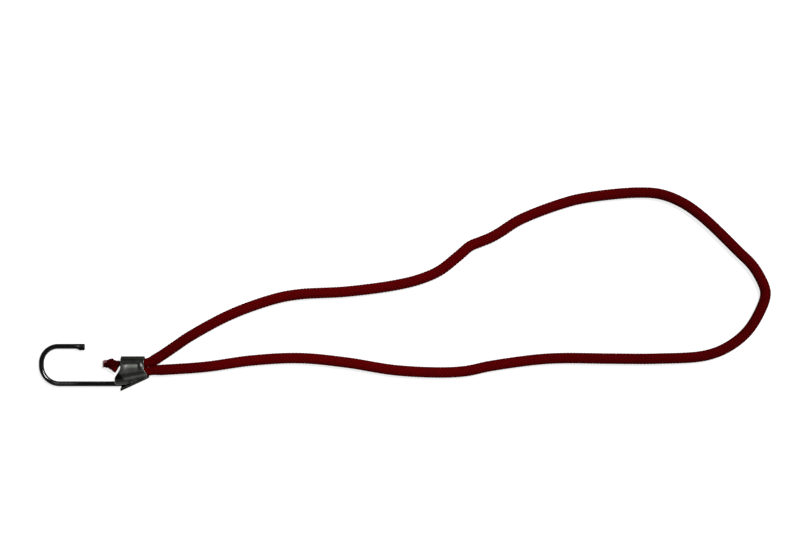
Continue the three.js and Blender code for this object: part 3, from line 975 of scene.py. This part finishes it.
class Nodes:
    """Short ways to add nodes to one tree. A value is a number, a colour or another node's output."""

    def __init__(self, tree):
        self.tree = tree

    def add(self, kind, inputs=(), **settings):
        node = self.tree.nodes.new(kind)
        for name, value in settings.items():
            setattr(node, name, value)
        self.feed(node, dict(inputs))
        return node

    def feed(self, node, inputs):
        for key, value in inputs.items():
            if isinstance(value, bpy.types.NodeSocket):
                self.tree.links.new(value, node.inputs[key])
            else:
                node.inputs[key].default_value = value

    def math(self, operation, a, b=0.0):
        return self.add("ShaderNodeMath", {0: a, 1: b}, operation=operation).outputs[0]

    def range(self, value, low, high, to_low, to_high):
        values = {0: value, 1: low, 2: high, 3: to_low, 4: to_high}
        return self.add("ShaderNodeMapRange", values).outputs[0]

    def between(self, mask, low, high):
        return self.range(mask, 0, 1, low, high)

    def mix(self, share, a, b):
        return self.add("ShaderNodeMix", {0: share, 6: a, 7: b}, data_type="RGBA").outputs[2]

    def scaled(self, vector, scale):
        return self.add("ShaderNodeMapping", {"Vector": vector, "Scale": scale}).outputs[0]

    def noise(self, vector, scale, detail=2.0, roughness=0.5):
        values = {"Vector": vector, "Scale": scale, "Detail": detail, "Roughness": roughness}
        return self.add("ShaderNodeTexNoise", values).outputs[0]

    def attribute(self, name):
        return self.add("ShaderNodeAttribute", attribute_name=name).outputs["Fac"]

    def bump(self, height, strength, distance):
        values = {"Height": height, "Strength": strength, "Distance": distance}
        return self.add("ShaderNodeBump", values).outputs[0]

    def group(self, group, **values):
        inputs = {name.capitalize(): value for name, value in values.items()}
        return self.add("ShaderNodeGroup", inputs, node_tree=group).outputs


def new_group(name, inputs, outputs):
    """A shader node group with number sockets, and the nodes to fill it if it is new."""
    if name in bpy.data.node_groups:
        return bpy.data.node_groups[name], None
    tree = bpy.data.node_groups.new(name, "ShaderNodeTree")
    for socket, value in inputs.items():
        made = tree.interface.new_socket(name=socket, in_out="INPUT", socket_type="NodeSocketFloat")
        made.default_value = value
    for socket in outputs:
        tree.interface.new_socket(name=socket, in_out="OUTPUT", socket_type="NodeSocketFloat")
    return tree, Nodes(tree)


def patches_group():
    """Slow changes of tone over a surface, as a mask from 0 to 1."""
    tree, nodes = new_group("tone patches", {"Scale": 40.0, "Contrast": 1.0}, ["Mask"])
    if nodes:
        start = nodes.add("NodeGroupInput")
        place = nodes.add("ShaderNodeTexCoord").outputs["Object"]
        noise = nodes.noise(place, start.outputs["Scale"], detail=4)
        spread = nodes.math("MULTIPLY", nodes.math("SUBTRACT", noise, 0.5), start.outputs["Contrast"])
        mask = nodes.add("ShaderNodeClamp", {0: nodes.math("ADD", spread, 0.5)}).outputs[0]
        nodes.add("NodeGroupOutput", {"Mask": mask})
    return tree


def scratches_group():
    """Fine rubbed lines along X as a mask, and their height."""
    tree, nodes = new_group("rubbed lines", {"Scale": 300.0, "Amount": 0.5}, ["Mask", "Height"])
    if nodes:
        start = nodes.add("NodeGroupInput")
        place = nodes.add("ShaderNodeTexCoord").outputs["Object"]
        stretched = nodes.scaled(place, (0.06, 1.0, 1.0))
        lines = nodes.noise(stretched, start.outputs["Scale"], detail=6, roughness=0.7)
        threshold = nodes.range(start.outputs["Amount"], 0.0, 1.0, 0.75, 0.45)
        over = nodes.math("MULTIPLY", nodes.math("SUBTRACT", lines, threshold), 6.0)
        mask = nodes.add("ShaderNodeClamp", {0: over}).outputs[0]
        nodes.add("NodeGroupOutput", {"Mask": mask, "Height": lines})
    return tree


def new_material(name):
    """A material with one shader, and the nodes to feed it."""
    material = bpy.data.materials.new(name)
    material.use_nodes = True
    nodes = Nodes(material.node_tree)
    shader = material.node_tree.nodes["Principled BSDF"]
    return material, nodes, shader


def times(color, share):
    """A colour made darker or lighter, as a socket takes it."""
    return (*(c * share for c in color), 1)


def patched(nodes, patches, color, tones):
    """A colour that changes between two tones from patch to patch."""
    darker, lighter = tones
    return nodes.mix(patches, times(color, darker), times(color, lighter))


# Dark coatings on metal throw back next to no light where they are seen nearly edge on.
EDGE_TINT = (0, 0, 0, 1)

# Numbers between which most of a noise lies.
NOISE_RANGE = (0.3, 0.7)

# Yarn: how its fibres are drawn out, how much fibres, whole yarns and patches change its tone, the painted
# shade in the gaps between the yarns, and the height from which it has its full tone.
FIBRE_STRETCH = (0.5, 11.0, 1.0)
FIBRE_TONE = 0.22
YARN_TONE = 0.1
PATCH_TONE = 0.1
GAP_PAINTED_SHADE = 0.45
CROWN_HEIGHT = 0.7

PALE_FIBRE = (0.62, 0.36, 0.4, 1)
FRAY_TONES = (0.56, 1.12)
RUBBER_TONES = (0.8, 1.1)

# Metals: tones as shares of their colour, in patches, on rubbed lines, where painted darker, which on the
# plate is mostly painted shade, in painted highlights and along worn edges.
PLATE_TONES = (0.75, 1.25)
PLATE_RUBBED = 2.2
PLATE_DARK = 0.08
PLATE_HIGHLIGHT = 7
PLATE_WORN = 4
LACQUER_TONES = (0.7, 1.3)
LACQUER_DARK = 0.35
BARE_STEEL = (0.3, 0.3, 0.3, 1)


def yarn_material(cord):
    """Tightly laid fibres along each yarn, with painted shade in the gaps, no two yarns quite alike."""
    material, nodes, shader = new_material("braided yarn")
    place = nodes.add("ShaderNodeUVMap", uv_map="yarn").outputs[0]
    fibres = nodes.noise(nodes.scaled(place, FIBRE_STRETCH), 1.0, detail=3, roughness=0.6)
    number = nodes.math("FLOOR", nodes.add("ShaderNodeSeparateXYZ", {0: place}).outputs["Y"])
    shade = nodes.add("ShaderNodeTexWhiteNoise", {"W": number}, noise_dimensions="1D").outputs["Value"]
    patches = nodes.group(patches_group(), scale=25.0, contrast=1.6)["Mask"]
    tone = nodes.range(fibres, *NOISE_RANGE, -FIBRE_TONE, FIBRE_TONE)
    tone = nodes.math("ADD", tone, nodes.between(shade, -YARN_TONE, YARN_TONE))
    tone = nodes.math("ADD", tone, nodes.between(patches, -PATCH_TONE, PATCH_TONE))
    # Painted shade: the yarn is darker down in the gaps between the crowns of the yarns.
    depth = nodes.range(nodes.attribute("relief"), 0, CROWN_HEIGHT, GAP_PAINTED_SHADE, 1)
    tone = nodes.math("MULTIPLY", depth, nodes.math("ADD", tone, 1.0))
    # The yarn painted darker on the tail, with painted shade on its lower side, by the clip and at the far
    # end.
    tone = nodes.math("MULTIPLY", tone, nodes.between(nodes.attribute("soil"), 1, 0))
    share = nodes.math("MULTIPLY", tone, 0.5)
    nodes.feed(shader, {
        "Base Color": nodes.mix(share, times(cord.yarn_color, 0), times(cord.yarn_color, 2)),
        "Roughness": nodes.range(fibres, *NOISE_RANGE, 0.72, 0.9),
        "Normal": nodes.bump(fibres, 0.5, 0.00012),
        "Specular IOR Level": 0.02,
    })
    return material


def fray_material(cord):
    """Loose fibres of the braid, some of them pale."""
    material, nodes, shader = new_material("frayed fibres")
    patches = nodes.group(patches_group(), scale=900.0, contrast=1.5)["Mask"]
    red = patched(nodes, patches, cord.yarn_color, FRAY_TONES)
    nodes.feed(shader, {
        "Base Color": nodes.mix(nodes.attribute("pale"), red, PALE_FIBRE),
        "Roughness": nodes.between(patches, 0.7, 0.9),
        "Specular IOR Level": 0.1,
    })
    return material


def rubber_material(cord):
    """Matt natural rubber with a fine bloom."""
    material, nodes, shader = new_material("natural rubber")
    patches = nodes.group(patches_group(), scale=300.0, contrast=1.2)["Mask"]
    nodes.feed(shader, {
        "Base Color": patched(nodes, patches, cord.rubber_color, RUBBER_TONES),
        "Roughness": nodes.between(patches, 0.6, 0.85),
        "Normal": nodes.bump(patches, 0.3, 0.00005),
    })
    return material


def ferrule_material(ferrule):
    """Dark plated sheet, rubbed along its length, brighter along its cut edges, with painted shade and
    painted highlights.
    """
    material, nodes, shader = new_material("dark plated sheet")
    patches = nodes.group(patches_group(), scale=220.0, contrast=1.8)["Mask"]
    rubbed = nodes.group(scratches_group(), scale=900.0, amount=0.45)
    wear = nodes.math("MULTIPLY", nodes.attribute("wear"), nodes.range(patches, 0.3, 0.6, 0.2, 1.0))
    color = patched(nodes, patches, ferrule.color, PLATE_TONES)
    rubbed_share = nodes.math("MULTIPLY", rubbed["Mask"], 0.35)
    color = nodes.mix(rubbed_share, color, times(ferrule.color, PLATE_RUBBED))
    # Painted shade on the fold, the bent corner and the trough, and a patch by the mouth painted darker.
    color = nodes.mix(nodes.attribute("dark"), color, times(ferrule.color, PLATE_DARK))
    # Painted highlights on the plate, along the lip's bend and on the lip's edge.
    color = nodes.mix(nodes.attribute("bright"), color, times(ferrule.color, PLATE_HIGHLIGHT))
    color = nodes.mix(nodes.math("MULTIPLY", wear, 0.8), color, times(ferrule.color, PLATE_WORN))
    scratched = nodes.math("MULTIPLY", rubbed["Mask"], 0.1)
    nodes.feed(shader, {
        "Base Color": color,
        "Roughness": nodes.math("ADD", nodes.between(patches, 0.32, 0.44), scratched),
        "Normal": nodes.bump(rubbed["Height"], 0.15, 0.00004),
        "Metallic": 1,
        "Specular Tint": EDGE_TINT,
    })
    return material


def hook_material(hook):
    """Black lacquered wire, rubbed a little, dull in places and worn to the steel at its ends."""
    material, nodes, shader = new_material("black lacquered wire")
    patches = nodes.group(patches_group(), scale=260.0, contrast=1.5)["Mask"]
    rubbed = nodes.group(scratches_group(), scale=700.0, amount=0.3)
    wear = nodes.math("MULTIPLY", nodes.attribute("wear"), nodes.range(patches, 0.35, 0.6, 0, 1))
    color = patched(nodes, patches, hook.color, LACQUER_TONES)
    color = nodes.mix(nodes.attribute("dark"), color, times(hook.color, LACQUER_DARK))
    color = nodes.mix(nodes.math("MULTIPLY", wear, 0.4), color, BARE_STEEL)
    scratched = nodes.math("MULTIPLY", rubbed["Mask"], 0.06)
    dulled = nodes.math("MULTIPLY", nodes.attribute("dull"), 0.28)
    roughness = nodes.math("ADD", nodes.between(patches, 0.12, 0.18), scratched)
    nodes.feed(shader, {
        "Base Color": color,
        "Roughness": nodes.math("ADD", roughness, dulled),
        "Normal": nodes.bump(rubbed["Height"], 0.05, 0.00002),
        "Metallic": 1,
        "Specular Tint": EDGE_TINT,
    })
    return material


# Stage

# Middle of the picture, and the height at which the picture is as wide as the setting says.
VIEW_CENTRE = (0.1602, 0.05375)
SCALE_HEIGHT = 0.003
SENSOR = 36

# The floor lies just under the part. Where it is seen it is white, apart from the part's shadow.
FLOOR_SIZE = 8
FLOOR_DROP = 0.00002
FLOOR_GRAIN = 60
FLOOR_SPECK = 0.97
FLOOR_GLOW = 0.82
FLOOR_DIFFUSE = 0.4
WHITE = (1, 1, 1, 1)

# The softbox, and how steeply the white surround goes over into the dim sky.
SOFTBOX_DISTANCE = 2.4
SOFTBOX_TURN = math.radians(44)
SOFTBOX_RISE = math.radians(62)
SOFTBOX_SIZE = (0.9, 0.3)
HORIZON_RISE = (0.06, 0.25)


def seen_or_mirrored(nodes):
    """1 for rays from the camera, from gloss and through glass, and 0 for rays that carry light."""
    path = nodes.add("ShaderNodeLightPath").outputs
    share = nodes.math("MAXIMUM", path["Is Camera Ray"], path["Is Glossy Ray"])
    return nodes.math("MAXIMUM", share, path["Is Transmission Ray"])


def make_camera(stage):
    """The camera, straight above the middle of the picture."""
    data = bpy.data.cameras.new("photo camera")
    data.lens = stage.lens
    data.sensor_width = SENSOR
    camera = bpy.data.objects.new("photo_camera", data)
    camera.location = (*VIEW_CENTRE, SCALE_HEIGHT + stage.view_width * stage.lens / SENSOR)
    bpy.context.scene.collection.objects.link(camera)
    bpy.context.scene.camera = camera


def make_floor(stage):
    """The floor: pale for the light that it throws back, white where it is seen or mirrored."""
    half = FLOOR_SIZE / 2
    corners = [(x, y, -FLOOR_DROP) for x, y in ((-half, -half), (half, -half), (half, half), (-half, half))]
    floor = new_piece("floor", corners, [(0, 1, 2, 3)], smooth=False)
    material = bpy.data.materials.new("pale floor")
    material.use_nodes = True
    tree = material.node_tree
    tree.nodes.clear()
    nodes = Nodes(tree)
    grain = nodes.noise(nodes.add("ShaderNodeTexCoord").outputs["Object"], FLOOR_GRAIN, detail=4)
    speck = nodes.range(grain, *NOISE_RANGE, 0, 1)
    tone = nodes.mix(speck, times(stage.floor_color, FLOOR_SPECK), times(stage.floor_color, 1))
    bounce = nodes.add("ShaderNodeBsdfDiffuse", {"Color": tone}).outputs[0]
    lit = nodes.add("ShaderNodeBsdfDiffuse", {"Color": times((1, 1, 1), FLOOR_DIFFUSE)}).outputs[0]
    glow = nodes.add("ShaderNodeEmission", {"Color": WHITE, "Strength": FLOOR_GLOW}).outputs[0]
    white = nodes.add("ShaderNodeAddShader", {0: lit, 1: glow}).outputs[0]
    seen = seen_or_mirrored(nodes)
    surface = nodes.add("ShaderNodeMixShader", {0: seen, 1: bounce, 2: white}).outputs[0]
    nodes.add("ShaderNodeOutputMaterial", {"Surface": surface})
    floor.data.materials.append(material)


def make_light(stage):
    """An even dim sky with a white surround at the horizon, and one softbox."""
    world = bpy.data.worlds.new("studio")
    bpy.context.scene.world = world
    world.use_nodes = True
    world.node_tree.nodes.clear()
    nodes = Nodes(world.node_tree)
    toward = nodes.add("ShaderNodeTexCoord").outputs["Generated"]
    rise = nodes.add("ShaderNodeSeparateXYZ", {0: toward}).outputs["Z"]
    surround = nodes.range(rise, *HORIZON_RISE, 1, stage.sky_strength)
    strength = nodes.between(seen_or_mirrored(nodes), stage.sky_strength, surround)
    sky = nodes.add("ShaderNodeBackground", {"Color": WHITE, "Strength": strength}).outputs[0]
    nodes.add("ShaderNodeOutputWorld", {"Surface": sky})
    data = bpy.data.lights.new("softbox", "AREA")
    data.shape = "RECTANGLE"
    data.energy = stage.key_power
    data.size, data.size_y = SOFTBOX_SIZE
    lamp = bpy.data.objects.new("softbox_lamp", data)
    toward = Vector((
        math.cos(SOFTBOX_TURN) * math.cos(SOFTBOX_RISE),
        math.sin(SOFTBOX_TURN) * math.cos(SOFTBOX_RISE),
        math.sin(SOFTBOX_RISE),
    ))
    lamp.location = Vector((*VIEW_CENTRE, 0)) + toward * SOFTBOX_DISTANCE
    lamp.rotation_euler = toward.to_track_quat("Z", "Y").to_euler()
    bpy.context.scene.collection.objects.link(lamp)


# Operators


def parts_of(context):
    """The settings and the places that follow from them."""
    settings = context.scene.bungee
    return settings, Layout(settings)


def dress(piece, material):
    """Gives a piece its material."""
    piece.data.materials.append(material)



class BUNGEE_OT_stage(bpy.types.Operator):
    """Makes the camera, the floor and the light."""

    bl_idname = "bungee.stage"
    bl_label = "Stage"

    def execute(self, context):
        stage = context.scene.bungee.stage
        context.scene.view_settings.view_transform = "Standard"
        make_camera(stage)
        make_floor(stage)
        make_light(stage)
        return {"FINISHED"}


class BUNGEE_OT_sheath(bpy.types.Operator):
    """Makes the braided sheath of the cord, after the threads in it and the fray on it."""

    bl_idname = "bungee.sheath"
    bl_label = "Braided sheath"

    def execute(self, context):
        settings, layout = parts_of(context)
        cord = settings.cord
        places = CordPlaces(cord, layout)
        sheath = make_sheath(cord, places)
        dress(sheath, yarn_material(cord))
        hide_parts("upper_leg_sheath", "bight_sheath", "lower_leg_sheath")
        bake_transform(sheath)
        places.at(core_lengths(places))[0]
        return {"FINISHED"}


class BUNGEE_OT_threads(bpy.types.Operator):
    """Makes the rubber threads of the core."""

    bl_idname = "bungee.threads"
    bl_label = "Rubber threads"

    def execute(self, context):
        settings, layout = parts_of(context)
        cord = settings.cord
        rubber = rubber_material(cord)
        for thread in make_threads(cord, CordPlaces(cord, layout)):
            dress(thread, rubber)
            number = thread.name[-2:]
            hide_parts(*(f"{part}_thread_{number}" for part in ("upper_leg", "bight", "lower_leg")))
            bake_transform(thread)
        return {"FINISHED"}


class BUNGEE_OT_fray(bpy.types.Operator):
    """Makes the loose fibres at the cut end of the long tail."""

    bl_idname = "bungee.fray"
    bl_label = "Frayed tail"

    def execute(self, context):
        settings, layout = parts_of(context)
        fray = make_fray(settings.cord, CordPlaces(settings.cord, layout))
        dress(fray, fray_material(settings.cord))
        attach(fray, "clip")
        return {"FINISHED"}


class BUNGEE_OT_ferrule(bpy.types.Operator):
    """Makes the folded and crimped sheet ferrule."""

    bl_idname = "bungee.ferrule"
    bl_label = "Ferrule"

    def execute(self, context):
        settings, layout = parts_of(context)
        ferrule = make_ferrule(settings.ferrule, layout)
        dress(ferrule, ferrule_material(settings.ferrule))
        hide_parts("ferrule")
        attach(ferrule, "clip")
        return {"FINISHED"}


class BUNGEE_OT_hook(bpy.types.Operator):
    """Makes the bent wire hook."""

    bl_idname = "bungee.hook"
    bl_label = "Hook"

    def execute(self, context):
        settings, layout = parts_of(context)
        hook = make_hook(settings.hook, layout)
        dress(hook, hook_material(settings.hook))
        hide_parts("hook")
        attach(hook, "clip")
        return {"FINISHED"}


class BUNGEE_PT_panel(bpy.types.Panel):
    """Lists the settings and the steps of the bungee loop."""

    bl_idname = "BUNGEE_PT_panel"
    bl_label = "Bungee loop"
    bl_space_type = "VIEW_3D"
    bl_region_type = "UI"
    bl_category = "Bungee"

    def draw(self, context):
        settings = context.scene.bungee
        for group in (settings.stage, settings.cord, settings.ferrule, settings.hook):
            box = self.layout.box()
            for name in group.__annotations__:
                box.prop(group, name)
        for operator in OPERATORS:
            self.layout.operator(operator.bl_idname)


OPERATORS = [
    BUNGEE_OT_stage,
    BUNGEE_OT_threads,
    BUNGEE_OT_fray,
    BUNGEE_OT_sheath,
    BUNGEE_OT_ferrule,
    BUNGEE_OT_hook,
]
SETTINGS = [CordSettings, FerruleSettings, HookSettings, StageSettings, BungeeSettings]
CLASSES = [*SETTINGS, *OPERATORS, BUNGEE_PT_panel]


def register():
    for item in CLASSES:
        bpy.utils.register_class(item)
    bpy.types.Scene.bungee = bpy.props.PointerProperty(type=BungeeSettings)


def unregister():
    del bpy.types.Scene.bungee
    for item in reversed(CLASSES):
        bpy.utils.unregister_class(item)


def main():
    """Builds the whole loop on its stage."""
    register()
    bpy.ops.bungee.stage()
    bpy.ops.bungee.threads()
    bpy.ops.bungee.fray()
    bpy.ops.bungee.sheath()
    bpy.ops.bungee.ferrule()
    bpy.ops.bungee.hook()


if __name__ == "__main__":
    main()
